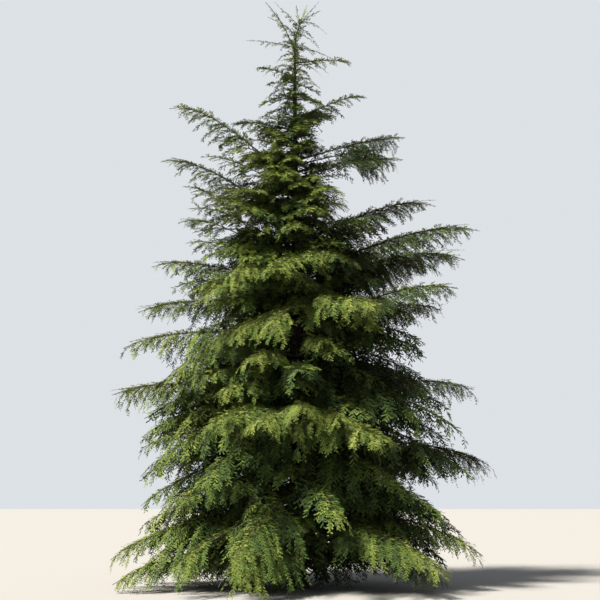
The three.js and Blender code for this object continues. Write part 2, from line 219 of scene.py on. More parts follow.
# Limbs that the photograph shows, from the top down: height of the root, azimuth in degrees, reach from the
# trunk's middle, and height of the tip.
SEEN_LIMBS = [
    (8.82, 4, 0.97, 8.84),
    (8.54, 190, 0.66, 8.66),
    (8.24, 312, 0.7, 7.82),
    (8.26, 206, 0.66, 7.92),
    (7.78, 2, 1.22, 8.2),
    (7.58, 166, 1.12, 7.76),
    (7.45, 278, 1.1, 7.25),
    (7.06, 348, 1.86, 7.34),
    (6.68, 184, 2.13, 7.93),
    (6.74, 338, 1.9, 6.86),
    (6.3, 288, 1.82, 6.08),
    (5.95, 172, 2.36, 7.14),
    (5.82, 228, 2.05, 5.98),
    (5.6, 6, 2.4, 6.33),
    (5.02, 200, 1.95, 6.42),
    (5.1, 354, 3.06, 5.76),
    (5.24, 160, 2.2, 6.15),
    (4.98, 262, 2.3, 4.7),
    (4.88, 20, 3.2, 5.56),
    (4.84, 182, 2.4, 5.2),
    (4.16, 338, 2.76, 4.66),
    (4.4, 300, 2.55, 4.2),
    (4.56, 168, 2.76, 4.54),
    (4.07, 196, 2.84, 3.75),
    (4.05, 10, 2.5, 4.56),
    (3.4, 272, 2.55, 3.18),
    (3.12, 170, 3.17, 3.12),
    (3.12, 350, 2.88, 3.12),
    (2.85, 244, 2.8, 2.4),
    (2.7, 298, 2.75, 2.2),
    (2.56, 198, 2.54, 2.18),
    (2.34, 12, 3.33, 1.94),
    (1.86, 218, 2.42, 1.24),
    (1.8, 282, 2.85, 1),
    (1.65, 250, 3.05, 0.25),
    (1.4, 184, 2.96, 0.44),
    (1.37, 342, 2.99, 0.54),
    (1.2, 314, 3.05, 0.3),
]

# Limbs on the far side, spaced by a rule between a lowest and a highest root
FAR_LIMBS = 12
FAR_ROOTS = (1.3, 8.56)
FAR_SPACING_POWER = 1.1
FAR_AZIMUTHS = (128, 52, 92)
FAR_DRIFTS = (-7, 0, 7, 14)
FAR_REACHES = (3.25, 0.78)
FAR_TAPER_FROM = 4.3
FAR_SLOPES = (-0.28, 0.3)

MAIN_LIMBS = len(SEEN_LIMBS) + FAR_LIMBS

# Lesser boughs that the photograph shows: the same columns as above, and how far outward their foliage
# counts, which makes it finer and lighter in tint. The high counts on the boughs in the middle, which the
# crown shades, lighten the tint as painted light.
SEEN_BOUGHS = [
    (8.46, 188, 0.5, 8.38, 0.9),
    (8.45, 345, 0.44, 8.2, 0.9),
    (8.22, 196, 0.46, 8.0, 0.9),
    (8.2, 325, 0.55, 7.95, 0.9),
    (8.05, 195, 0.62, 7.74, 1.2),
    (7.76, 238, 0.72, 7.62, 2.2),
    (7.62, 300, 0.8, 7.5, 1.8),
    (7.5, 212, 0.95, 7.4, 2.0),
    (7.3, 250, 1.0, 7.12, 2.4),
    (7.3, 198, 1.0, 7.3, 2.0),
    (7.15, 292, 1.05, 6.98, 2.0),
    (7.0, 228, 1.25, 6.9, 2.2),
    (6.92, 268, 1.2, 6.72, 2.4),
    (6.75, 250, 1.35, 6.56, 2.2),
    (6.62, 290, 1.2, 6.42, 1.8),
    (6.6, 232, 1.45, 6.42, 1.8),
    (6.45, 276, 1.5, 6.2, 2.2),
    (6.3, 220, 1.6, 6.2, 1.6),
    (6.15, 302, 1.5, 5.92, 2.0),
    (6.98, 346, 1.62, 7.12, 0.3),
    (6.86, 350, 1.5, 6.98, 0.3),
    (6.85, 335, 1.05, 6.92, 1.1),
    (6.6, 350, 0.85, 6.75, 0.9),
    (6.5, 205, 1.7, 6.9, 1.0),
    (5.5, 188, 1.8, 6.15, 0.9),
    (5.35, 352, 1.45, 5.8, 0.7),
    (5.14, 190, 1.85, 5.55, 0.9),
    (3.88, 285, 1.8, 3.72, 1.8),
    (3.72, 252, 2.1, 3.41, 1.8),
    (3.5, 218, 2.1, 3.18, 1.3),
    (3.3, 233, 1.95, 2.96, 1.5),
    (2.8, 273, 2.35, 2.62, 1.4),
    (2.74, 258, 2.5, 2.42, 1.4),
    (2.72, 287, 2.4, 2.5, 1.4),
    (1.25, 228, 2.7, 0.35, 0.9),
    (0.9, 254, 2.8, 0.2, 0.9),
    (0.75, 199, 2.95, 0.12, 0.9),
    (0.7, 334, 2.5, 0.15, 0.9),
    (0.6, 165, 2.6, 0.15, 0.9),
]

# Lesser boughs between the others, which fill the crown. Reach and slope are given at heights of the root.
# A family has so many boughs, with roots and azimuths between two ends, a spread of the reach, coarser
# growth than a limb's, how far outward its foliage counts, a slope that is added, and a share of arch.
# An outward count under 1 makes the needles larger and their tint darker, the darkening being painted shade
# inside the crown and on the right; the front family's count over 1 lightens the tint as painted light.
LESSER_HEIGHTS = (0.4, 1.5, 2.8, 4.0, 4.9, 6.6, 7.3, 8.3)
LESSER_REACHES = (2.2, 2.35, 2.35, 2.25, 2.15, 1.5, 0.9, 0.45)
LESSER_SLOPES = (-0.1, -0.36, -0.46, -0.3, -0.12, 0.06, 0.2, 0.4)
LESSER_FIELDS = ("count", "roots", "spread", "from", "sector", "coarse", "outward", "slope", "arch")
LESSER_FAMILIES = [
    (118, (0.42, 7.7), (0.55, 0.98), 236, 360, 1.35, 0.82, 0.0, 0.85),
    (80, (0.8, 8.3), (0.22, 0.48), 75, 360, 1.5, 0.74, 0.0, 0.85),
    (14, (0.3, 0.9), (0.4, 0.85), 190, 175, 1.35, 0.7, 0.0, 0.85),
    (36, (4.3, 7.4), (0.7, 1.15), 208, 120, 1.0, 1.5, -0.2, 1.6),
    (13, (1.2, 3.6), (0.95, 1.15), 165, 50, 1.25, 0.8, 0.0, 0.85),
    (20, (1.2, 4.4), (0.95, 1.25), -28, 60, 1.35, 0.3, 0.0, 0.85),
    (10, (3.2, 4.0), (0.9, 1.1), 112, 80, 1.5, 0.5, 0.0, 0.85),
]
LESSER_SLOPE_SPREAD = 0.06
LESSER_BEND = 0.08
LESSER_LOWEST_TIP = 0.1
LESSER_SIDES = 5
LESSER_RINGS = 10

# Openings in the crown, as the photograph sees them in the plane of the trunk: from left to right, from
# low to high, and how far back they go. The sky shows through the small ones and the trunk through the
# tall one. The two at the ground are hollows in front.
OPENINGS = [
    (-0.82, -0.6, 6.72, 6.95, 4),
    (-0.7, -0.56, 5.78, 5.98, 4),
    (-0.46, -0.34, 5.82, 5.96, 4),
    (-0.38, -0.28, 6.36, 6.47, 4),
    (-0.96, -0.76, 5.9, 6.12, 4),
    (-1.4, -1.02, 5.74, 5.94, 4),
    (0.85, 1.05, 6.78, 7.02, 4),
    (-0.9, -0.6, 7.2, 7.38, 4),
    (0.3, 0.55, 7.36, 7.6, 4),
    (-0.15, 0.12, 3.62, 4.5, 0),
    (0.1, 1.35, -1, 0.6, -0.6),
    (-1.42, -1.05, -1, 0.8, -0.8),
]
CROSSED_FROM_TONE = 0.9
SHOOT_MIDDLE = 0.6

# Low boughs end short where the crown is hollow in front, under a height and between two directions
HOLLOW_ROOTS = 1.5
HOLLOW_SECTOR = (266, 316)
HOLLOW_REACH = 1.3

# The open bay on the right under the top, where the lesser boughs are short
BAY_SECTOR = (-72, 75)
BAY_HEIGHTS = (5.8, 6.05, 6.75, 6.9, 7.5, 7.7)
BAY_SHARES = (1.0, 0.45, 0.45, 0.78, 0.78, 1.0)

# Fine wood: how each order of shoot stands on the one before it. Angles are in degrees.
FINE = {"first": 0.05, "last": 0.95, "bears": 0.0, "taper_power": 0.5}
BRANCHLETS = FINE | {
    "pitch": 0.08, "angle": (22, 46), "droop": (0.25, 0.7), "sag": (0.15, 0.5),
    "bears": 0.3, "taper_power": 0.4, "shortest": 0.11, "longest": 0.42,
    "spread": (0.7, 1.15), "radius": 0.0024,
}
FINGERS = FINE | {
    "pitch": 0.055, "angle": (24, 44), "droop": (0.1, 0.5), "sag": (0.1, 0.4),
    "shortest": 0.07, "longest": 0.17, "spread": (0.7, 1.2), "radius": 0.002,
}
TWIGLETS = FINE | {
    "pitch": 0.06, "first": 0.15, "last": 0.7, "angle": (30, 45),
    "droop": (0.0, 0.25), "sag": (0.05, 0.3), "shortest": 0.04, "longest": 0.1,
    "spread": (0.75, 1.2), "radius": 0.0015,
}
SPURS = FINE | {
    "pitch": 0.075, "first": 0.04, "last": 0.72, "angle": (25, 55),
    "droop": (0.0, 0.35), "sag": (0.05, 0.4), "taper_power": 0.6, "shortest": 0.04,
    "longest": 0.2, "spread": (0.6, 1.2), "radius": 0.0018,
}

# Slender shoots bear little, and finer needles. Longer branchlets bear twiglets and are bent.
SLENDER = {"bears": 0.22, "coarse": 0.75}
TWIGLETS_FROM_LENGTH = 0.3
BENDS_FROM_LENGTH = 0.26

# All fine wood: shoots are short at their parent's foot, and longer ones are thicker
LENGTH_AT_FOOT = 0.55
LENGTHENING = 2.5
LEAST_THICKNESS = 0.7
THICKENING = 1.4
OUTWARD_ALONG_PARENT = 0.6
WOOD_SIDES = 3
WOOD_TAPER = 0.8

# Needles: a blunt blade of two triangles, in two ranks along a shoot
NEEDLES_PER_METRE = 78
NEEDLE_JITTER = (0.3, 1)
NEEDLE_LENGTH = (0.036, 0.05)
NEEDLE_WIDTH = 0.014
NEEDLE_BASE_SHARE = 0.7
NEEDLE_END_SHARE = 0.75
NEEDLE_ANGLE = (30, 56)
NEEDLE_LIFT = (-22, 34)
NEEDLE_ROLL = 0.35
NEEDLE_PITCHING = 0.2
NEEDLE_TAPER = (1.12, 0.62)
INNER_GROWTH = 2.15

# The photograph's point of view
CAMERA_PLACE = (0.05, -18, 1.6)
CAMERA_TILT = 9.64
CAMERA_LENS = 65.64
CAMERA_SENSOR = 36
CAMERA_SEES_TO = 200

# The lowest that wood and needles hang
LOWEST = 0.02
LOWEST_NEEDLE = 0.01

# How far the crown reaches at some heights
CROWN_HEIGHTS = (0.2, 2.4, 3.4, 5.4, 6.6, 7.8, 8.4, 9.0, 9.6)
CROWN_REACHES = (2.9, 3.1, 3.1, 2.5, 1.8, 1.2, 0.6, 0.5, 0.3)

# Tints of needles, dealt to shoots by a number that grows outwards, on the sunny side and on rising shoots.
# Outwards is by the place in the crown as well as on the limb. The tint is lighter outwards partly as the
# tree's young growth and partly as painted shade inside the crown. Lighter on the sunny side and on rising
# shoots is painted light.
TINTS = {
    "deep": (0.027, 0.048, 0.016),
    "dark": (0.046, 0.082, 0.021),
    "middle": (0.090, 0.138, 0.028),
    "fresh": (0.150, 0.200, 0.038),
    "golden": (0.225, 0.262, 0.060),
}
CROWN_WEIGHT = 0.5
TINT_RANGE_LOW = (-0.45, 3.05)
TINT_RANGE_HIGH = (0.7, 2.7)
# Painted light and shade: tints lighter towards the sunny side's azimuth and darker away from it, low and
# high
SUNNY_SIDE = 238
SUN_SIDE_PAINTED_LIGHT = (0.45, 0.2)
# Painted light on rising shoots and painted shade on hanging ones, by how steeply they head up or down
RISING_PAINTED_LIGHT = 0.8
TINT_SPREAD = 0.42
TINT_FINE_SPREAD = 0.45
NEEDLE_ROUGHNESS = 0.6
NEEDLE_SPECULAR = 0.12

# Fine wood, and the shine of everything but needles
SPECULAR = 0.3
SIDE_WOOD_COLOUR = (0.085, 0.066, 0.045)
SIDE_WOOD_ROUGHNESS = 0.85
TWIG_COLOUR = (0.19, 0.135, 0.06)
TWIG_ROUGHNESS = 0.8

# Bark: plates, drawn out upwards where the stretch is under 1, with cracks, a finer grain, and patches of
# lichen. The colours go from the cracks to the plates.
TRUNK_BARK = {"stretch": 0.22, "crack_floor": 0.35}
BOUGH_BARK = {"stretch": 1.0, "crack_floor": 0.85}
BARK_COLOUR = (0.09, 0.075, 0.055)
BARK_ROUGHNESS = 0.9
BARK_DEPTH = 0.01
BARK_STRENGTH = 0.9
CRACK_STOP = (0.2, (0.020, 0.015, 0.011, 1))
EDGE_STOP = (0.46, (0.080, 0.063, 0.046, 1))
PLATE_STOP = (0.66, (0.190, 0.168, 0.136, 1))
PLATE_SCALE = 34
CRACK_WIDTH = 0.16
GRAIN = {"Scale": 70, "Detail": 6, "Roughness": 0.62}
WANDER = {"Scale": 14, "Detail": 2}
WANDER_WIDTH = 0.07
LICHEN = {"Scale": 5, "Detail": 3}
LICHEN_SPREAD = {"From_Min": 0.5, "From_Max": 0.72, "To_Max": 0.5}
LICHEN_COLOUR = (0.115, 0.125, 0.078, 1)

# Studio. Angles are in degrees.
FLOOR_HALF_SIDE = 60
FLOOR_COLOUR = (0.40, 0.39, 0.375)
FLOOR_ROUGHNESS = 0.9
SOFT_LIGHT = {"Color": (0.9, 0.94, 1.0, 1), "Strength": 0.3}
BACKDROP = {"Color": (0.80, 0.84, 0.88, 1), "Strength": 0.9}
KEY_ENERGY = 8.2
KEY_WIDTH = 9
KEY_COLOUR = (1.0, 0.95, 0.86)
KEY_TILT = 37
KEY_TURN = -52

# Seeds, limits and directions
GROWTH_SEED = 11
BARK_SEED = 3
MOST_TRIANGLES = 190000
TANGENT_STEP = 1e-3
UP = np.array([0.0, 0.0, 1.0])
LEADER_ACROSS = np.array([0.0, 1.0, 0.0])


def seeded(seed):
    """The source's own small generator, so that its limbs can be grown again."""
    mask = 0xFFFFFFFF
    step = 0x6D2B79F5
    state = seed & mask

    def draw():
        nonlocal state
        state = (state + step) & mask
        t = ((state ^ (state >> 15)) * (1 | state)) & mask
        t = ((t + (((t ^ (t >> 7)) * (61 | t)) & mask)) & mask) ^ t
        return ((t ^ (t >> 14)) & mask) / 2**32

    return draw


def mix(low, high, share):
    """Low where the share is 0, high where it is 1."""
    return low + (high - low) * share


def unit(vectors):
    return vectors / np.maximum(1e-9, np.linalg.norm(vectors, axis=-1, keepdims=True))


def square_to(along, across):
    """The second direction of each pair, made square to the first."""
    return unit(across - along * np.sum(across * along, axis=-1, keepdims=True))


# Wood of the trunk and the limbs


def trunk_middle(z):
    """The middle of the trunk at a height: it leans a little and sways once."""
    share = np.asarray(z, float) / TRUNK_TOP
    sway = TRUNK_SWAY * np.sin(2 * np.pi * share)
    return np.stack([TRUNK_LEAN * share, sway, share * TRUNK_TOP], axis=-1)


def trunk_radius(z):
    left = np.maximum(0, 1 - z / TRUNK_TOP) ** TRUNK_TAPER_POWER
    return TRUNK_TOP_RADIUS + (TRUNK_FOOT_RADIUS - TRUNK_TOP_RADIUS) * left


class Limb:
    """One limb's middle line: out from the trunk, up or down to its tip, and arched over at the end."""

    def __init__(self, root, azimuth, reach, tip, bend):
        self.root, self.reach, self.tip, self.bend = root, reach, tip, bend
        self.clothing = CLOTHING.get((root, azimuth), PLAIN)
        turn = math.radians(azimuth)
        self.out = np.array([math.cos(turn), math.sin(turn), 0.0])
        self.side = np.array([-self.out[1], self.out[0], 0.0])
        self.start = trunk_middle(root)
        self.bare = BARE_SHARE if root < BARE_BELOW else 0
        self.sides, self.rings = LIMB_SIDES, LIMB_RINGS
        self.outward, self.coarse = 1, self.clothing["coarse"]
        self.crest_pitch = CREST_PITCH * self.coarse
        self.arch = 1 if self.bare else self.clothing["arch"]

    def point(self, t):
        t = np.asarray(t, float)[..., None]
        arch = ARCH_SHARE * self.reach + ARCH_PER_RISE * max(0, self.tip - self.root)
        arch *= self.arch
        lift = (self.tip - self.root + arch) * t - arch * t**ARCH_POWER
        sideways = self.bend * self.reach * np.sin(np.pi * t)
        return self.start + self.out * self.reach * t + self.side * sideways + UP * lift

    def tangent(self, t):
        return unit(self.point(t) - self.point(t - TANGENT_STEP))

    def radius(self, t):
        base = LIMB_BASE_RADIUS + LIMB_RADIUS_PER_REACH * self.reach
        return base * mix(1, LIMB_TIP_THINNING, t**LIMB_THINNING_POWER)


def far_limbs():
    """The limbs on the far side, as rows like those that are seen."""
    rows = []
    for k in range(FAR_LIMBS):
        share = (k / (FAR_LIMBS - 1)) ** FAR_SPACING_POWER
        root = mix(*FAR_ROOTS, share)
        azimuth = FAR_AZIMUTHS[k % len(FAR_AZIMUTHS)] + FAR_DRIFTS[k % len(FAR_DRIFTS)]
        above = min(1, max(0, (root - FAR_TAPER_FROM) / (FAR_ROOTS[1] - FAR_TAPER_FROM)))
        reach = mix(*FAR_REACHES, above)
        rows.append((root, azimuth, reach, root + reach * mix(*FAR_SLOPES, share)))
    return rows


def main_limbs():
    """Every limb of the source from the ground up, each with the bend that its own seed gives."""
    rows = sorted(SEEN_LIMBS + far_limbs(), key=lambda row: row[0])
    return [Limb(*row, bend=MOST_BEND * (2 * seeded(k + 1)() - 1)) for k, row in enumerate(rows)]


def bay_share(root, azimuth):
    """How much of its reach a lesser bough keeps, which is less in the bay."""
    turn = (azimuth + 180) % 360 - 180
    if BAY_SECTOR[0] < turn < BAY_SECTOR[1]:
        return np.interp(root, BAY_HEIGHTS, BAY_SHARES)
    return 1


def bough_of(family, k, rng):
    """The bough number k of a family, which winds up the trunk."""
    root = mix(*family["roots"], k / (family["count"] - 1))
    azimuth = family["from"] + k * GOLDEN_ANGLE % family["sector"]
    reach = np.interp(root, LESSER_HEIGHTS, LESSER_REACHES) * rng.uniform(*family["spread"])
    reach *= bay_share(root, azimuth)
    if root < HOLLOW_ROOTS and HOLLOW_SECTOR[0] < azimuth % 360 < HOLLOW_SECTOR[1]:
        reach = min(reach, HOLLOW_REACH)
    slope = np.interp(root, LESSER_HEIGHTS, LESSER_SLOPES) + family["slope"]
    slope += rng.normal(0, LESSER_SLOPE_SPREAD)
    tip = max(LESSER_LOWEST_TIP, root + reach * slope)
    bough = Limb(root, azimuth, reach, tip, bend=LESSER_BEND * rng.uniform(-1, 1))
    bough.coarse = family["coarse"]
    bough.outward = family["outward"]
    bough.arch = family["arch"]
    return bough


def lesser_boughs(rng):
    """Shorter boughs between the main limbs: those that the photograph shows, then the families."""
    boughs = []
    for *row, outward in SEEN_BOUGHS:
        boughs.append(Limb(*row, bend=0))
        boughs[-1].outward = outward
    for family in (dict(zip(LESSER_FIELDS, row)) for row in LESSER_FAMILIES):
        boughs += [bough_of(family, k, rng) for k in range(family["count"])]
    for bough in boughs:
        bough.bare, bough.sides, bough.rings = 0, LESSER_SIDES, LESSER_RINGS
        bough.crest_pitch = LESSER_CREST_PITCH
    return boughs


def lattice_noise(around, along, rng, shape):
    """Smooth noise from 0 to 1 that closes on itself around, over a grid of random values."""
    grid = rng.random(shape)
    u = np.mod(around, 1) * shape[0]
    v = np.clip(along, 0, 1) * (shape[1] - 2)
    i, j = np.floor(u).astype(int) % shape[0], np.floor(v).astype(int)
    a, b = u - np.floor(u), v - np.floor(v)
    a, b = a * a * (3 - 2 * a), b * b * (3 - 2 * b)
    right = (i + 1) % shape[0]
    low = grid[i, j] * (1 - a) + grid[right, j] * a
    high = grid[i, j + 1] * (1 - a) + grid[right, j + 1] * a
    return low * (1 - b) + high * b


def tube_faces(rings, sides):
    """Quads between the rings of one open tube."""
    ring = np.arange(rings - 1)[:, None] * sides
    side = np.arange(sides)[None, :]
    beside = (side + 1) % sides
    corners = [ring + side, ring + beside, ring + sides + beside, ring + sides + side]
    return np.stack([np.broadcast_to(c, (rings - 1, sides)) for c in corners], axis=-1).reshape(-1, 4)


def trunk_mesh(rng):
    """The trunk with its root flare and the bark's long, broken ridges."""
    share = np.linspace(0, 1, TRUNK_RINGS) ** TRUNK_RING_POWER
    heights = share * TRUNK_TOP
    turns = np.arange(TRUNK_SIDES) / TRUNK_SIDES
    z, turn = np.meshgrid(heights, turns, indexing="ij")
    wander = RIDGE_WANDER * (lattice_noise(turn, z / TRUNK_TOP, rng, WANDER_GRID) - 0.5)
    coarse = lattice_noise(turn + wander, z / TRUNK_TOP, rng, RIDGE_GRID)
    fine = lattice_noise(turn + wander, z / TRUNK_TOP, rng, FINE_GRID)
    ridge = 1 - np.abs(2 * coarse - 1) ** RIDGE_POWER
    angle = 2 * np.pi * turn
    radius = trunk_radius(z)
    flare = FLARE * (1 + FLARE_LOBE_DEPTH * np.cos(FLARE_LOBES * angle)) * np.exp(-z / FLARE_HEIGHT)
    relief = radius * (RIDGE_DEPTH * (ridge - RIDGE_LEVEL) + FINE_DEPTH * (fine - 0.5))
    around = (radius + flare + relief)[..., None]
    points = trunk_middle(z) + around * np.stack([np.cos(angle), np.sin(angle), 0 * z], axis=-1)
    points[..., 2] = z
    return points.reshape(-1, 3), tube_faces(TRUNK_RINGS, TRUNK_SIDES)


def limb_mesh(limb, rng):
    """A limb from inside the trunk to its tip, with a collar at the trunk and uneven bark."""
    first = LIMB_DEPTH_IN_TRUNK * trunk_radius(limb.root) / limb.reach
    t = first + (1 - first) * np.linspace(0, 1, limb.rings) ** LIMB_RING_POWER
    middle, along = limb.point(t), limb.tangent(t)
    across = unit(np.cross(along, UP))
    over = np.cross(across, along)
    from_trunk = limb.reach * t - trunk_radius(limb.root)
    collar = 1 + COLLAR_SWELL * np.exp(-np.maximum(0, from_trunk) / COLLAR_LENGTH)
    radius = limb.radius(t) * collar
    rough = 1 + LIMB_UNEVENNESS * (rng.random((limb.rings, limb.sides)) - 0.5)
    angle = 2 * np.pi * np.arange(limb.sides) / limb.sides
    ring = across[:, None] * np.cos(angle)[None, :, None] + over[:, None] * np.sin(angle)[None, :, None]
    points = middle[:, None] + ring * (radius[:, None] * rough)[..., None]
    return points.reshape(-1, 3), tube_faces(limb.rings, limb.sides)


def joined(meshes):
    """Several (points, faces) as one."""
    points, faces, count = [], [], 0
    for some_points, some_faces in meshes:
        points.append(some_points)
        faces.append(some_faces + count)
        count += len(some_points)
    return np.concatenate(points), np.concatenate(faces)


# Shoots, from laterals to twiglets


class Shoots:
    """Many shoots, one to a row. Each leaves along its heading and sags as the square of the way.

    Across lies in the plane of the spray, outward is 0 by the trunk and 1 outside, bears is the length of
    what the shoot bears as a share of its own, and coarse growth has larger and fewer needles.
    """

    FIELDS = (
        "start", "heading", "length", "sag", "radius", "outward",
        "across", "bears", "coarse", "hang", "tone", "high",
    )

    def __init__(
        self, start, heading, length, sag, radius, outward,
        across=None, bears=0, coarse=1, hang=1, tone=0, high=0,
    ):
        across = np.cross(UP, heading) if across is None else across
        self.start, self.heading, self.length = start, unit(heading), length
        self.across = np.broadcast_to(unit(across), heading.shape)
        numbers = (sag, radius, outward, bears, coarse, hang, tone, high)
        numbers = [np.broadcast_to(values, length.shape) for values in numbers]
        self.sag, self.radius, self.outward, self.bears = numbers[:4]
        self.coarse, self.hang, self.tone, self.high = numbers[4:]

    def __len__(self):
        return len(self.length)

    def chosen(self, which):
        return Shoots(*(getattr(self, field)[which] for field in self.FIELDS))

    def point(self, rows, share):
        way = (self.length[rows] * share)[:, None]
        drop = (self.sag[rows] * self.length[rows] * share**2)[:, None]
        return self.start[rows] + self.heading[rows] * way - UP * drop

    def tangent(self, rows, share):
        return unit(self.heading[rows] - UP * (2 * self.sag[rows] * share)[:, None])

    def middle(self):
        return self.point(np.arange(len(self)), np.full(len(self), SHOOT_MIDDLE))


def together(groups):
    return Shoots(*(np.concatenate([getattr(group, field) for group in groups]) for field in Shoots.FIELDS))


def off_the_ground(shoots):
    """The shoots, with less sag near the ground, and without those that would touch it anyway."""
    room = (shoots.start[:, 2] + shoots.heading[:, 2] * shoots.length - LOWEST) / shoots.length
    shoots.sag = np.clip(room, 0, shoots.sag)
    return shoots.chosen(room > 0)


def out_of_the_openings(shoots):
    """The shoots without those whose middle is in an opening. A few of a lighter tone, partly painted
    light, cross it all the same.
    """
    x, y, z = shoots.middle().T
    nearer = (CAMERA_PLACE[1] - y) / CAMERA_PLACE[1]
    seen_x = CAMERA_PLACE[0] + (x - CAMERA_PLACE[0]) / nearer
    seen_z = CAMERA_PLACE[2] + (z - CAMERA_PLACE[2]) / nearer
    inside = np.zeros(len(shoots), bool)
    for left, right, low, top, back in OPENINGS:
        inside |= (seen_x > left) & (seen_x < right) & (seen_z > low) & (seen_z < top) & (y < back)
    return shoots.chosen(~inside | (shoots.tone > CROSSED_FROM_TONE))


def cleared(shoots):
    return out_of_the_openings(off_the_ground(shoots))


def numbered(counts):
    """For so many places on each of several shoots: the shoot's row, and the place's number on it."""
    rows = np.repeat(np.arange(len(counts)), counts)
    return rows, np.arange(len(rows)) - np.repeat(np.cumsum(counts) - counts, counts)


def spaced(rng, lengths, pitch, first, last):
    """Places along each of several shoots: the shoot's row, the share of its length, and the side."""
    counts = np.maximum(2, np.round(lengths * (last - first) / pitch)).astype(int)
    rows, order = numbered(counts)
    share = first + (last - first) * (order + rng.random(len(rows))) / counts[rows]
    first_hand = rng.integers(0, 2, len(lengths))
    hand = 1.0 - 2.0 * ((order + first_hand[rows]) % 2)
    return rows, share, hand


def turned_aside(along, angle):
    """Directions turned about the vertical."""
    x, y = along[:, 0], along[:, 1]
    cos, sin = np.cos(angle), np.sin(angle)
    return np.stack([x * cos - y * sin, x * sin + y * cos, along[:, 2]], axis=-1)


def high_up(points):
    """0 low in the crown, 1 high up."""
    return np.clip((points[:, 2] - LOW_UP_TO) / (HIGH_FROM - LOW_UP_TO), 0, 1)


def laterals_of(limb, rng):
    """The laterals of one limb, by the rule of the source's sprays."""
    first = max(FIRST_LATERAL, limb.bare + FIRST_AFTER_BARE, limb.clothing["first"])
    root_height = high_up(limb.start[None])
    pitch = mix(*LATERAL_PITCHES, root_height) * limb.coarse * limb.clothing["apart"]
    _, t, hand = spaced(rng, np.array([limb.reach]), pitch, first, mix(*LAST_LATERALS, root_height))
    count = len(t)
    start, along = limb.point(t), limb.tangent(t)
    high = high_up(start)
    angle = mix(mix(*LATERAL_ANGLES, high), LATERAL_ANGLE_AT_TIP, t)
    angle += rng.normal(0, LATERAL_ANGLE_SPREAD, count)
    heading = turned_aside(along, hand * np.radians(angle))
    heading[:, 2] = mix(*SIDE_RISE_SHARES, high) * along[:, 2] + SIDE_RISE
    full = mix(*LATERAL_SHARES, high) * limb.reach * (1 - t) ** mix(*LATERAL_TAPER_POWERS, high)
    full *= np.interp(limb.root, TOP_HEIGHTS, TOP_LENGTHS) * limb.clothing["length"]
    shortest = np.minimum(mix(*LATERAL_SHORTEST, high), LATERAL_SHORTEST_SHARE * limb.reach)
    length = np.maximum(shortest, full * rng.uniform(*LATERAL_SPREAD, count))
    high = high * (not limb.clothing["hangs"])
    sag = mix(rng.uniform(*LATERAL_SAG_LOW, count), rng.uniform(*LATERAL_SAG_HIGH, count), high)
    radius = LATERAL_RADIUS + LATERAL_RADIUS_PER_LENGTH * length
    radius = np.minimum(LATERAL_TO_LIMB_RADIUS * limb.radius(t), radius)
    bears = mix(mix(*LATERAL_BEARS_LOW, t**2), mix(*LATERAL_BEARS_HIGH, t**2), high)
    hang = mix(HANG_AT_TRUNK, 1, t) * mix(1, HANG_WHEN_HIGH, high)
    # Tone around the limb kind's, at random; on the darker kinds it is painted shade
    tone = rng.normal(limb.clothing["tone"], TINT_SPREAD, count)
    return Shoots(
        start, heading, length, sag, radius, t * limb.outward,
        bears=bears, coarse=limb.coarse, hang=hang, tone=tone, high=high,
    )


def crest_of(limb, rng):
    """Short shoots on both sides of a limb's crest, from near the trunk to the tip."""
    _, t, hand = spaced(rng, np.array([limb.reach]), limb.crest_pitch, *CREST_SPAN)
    count = len(t)
    along = limb.tangent(t)
    aside = unit(np.cross(UP, along)) * hand[:, None]
    angle = np.radians(rng.uniform(*CREST_ANGLE, count))[:, None]
    rise = rng.uniform(*CREST_RISE, count)[:, None]
    heading = along * np.cos(angle) + aside * np.sin(angle) + UP * rise
    length = rng.uniform(*CREST_LENGTH, count) * mix(1, CREST_SHORTENING, t)
    length *= min(1, limb.reach / CREST_FULL_REACH)
    sag = rng.uniform(*CREST_SAG, count)
    start, outward = limb.point(t) + UP * limb.radius(t)[:, None], t * limb.outward
    # The crest's tint is lighter by the kind's crest value: painted light on the limb's top
    tone = limb.clothing["tone"] + limb.clothing["crest"]
    return Shoots(start, heading, length, sag, CREST_RADIUS, outward, coarse=limb.coarse, tone=tone)


def stretches(ends, across):
    """Short straight shoots one after another between the given points."""
    way = ends[1:] - ends[:-1]
    return Shoots(ends[:-1], way, np.linalg.norm(way, axis=-1), sag=0, radius=0, outward=1, across=across)


def tip_of(limb):
    """The last stretch of a limb as shoots, so that it bears needles."""
    return stretches(limb.point(np.linspace(BARE_WOOD_END, 1, TIP_STRETCHES + 1)), limb.side)


def forks_of(limb, rng):
    """Slender shoots that run on beside the end of a limb, nearly bare."""
    t = rng.uniform(*FORK_FROM, FORKS)
    hand = 1 - 2 * (np.arange(FORKS) % 2)
    along = limb.tangent(t)
    heading = turned_aside(along, hand * np.radians(rng.uniform(*FORK_ANGLE, FORKS)))
    length = limb.reach * (rng.uniform(*FORK_END, FORKS) - t)
    sag = rng.uniform(*FORK_SAG, FORKS) + FORK_LEVELS_OUT * np.maximum(0, unit(heading)[:, 2])
    slender = SLENDER if limb.root < LOW_UP_TO else SLENDER | {"bears": 0}
    return Shoots(limb.point(t), heading, length, sag, FORK_RADIUS, t, **slender)


def leader_curve(share):
    """The leader's middle line: straight on from the trunk, then bent aside."""
    foot = trunk_middle(TRUNK_TOP)
    bend = foot + UP * LEADER_BEND * (LEADER_TOP - TRUNK_TOP)
    head = np.array([foot[0] + LEADER_LEAN, foot[1], LEADER_TOP])
    s = np.asarray(share, float)[..., None]
    return foot * (1 - s) ** 2 + bend * 2 * s * (1 - s) + head * s**2


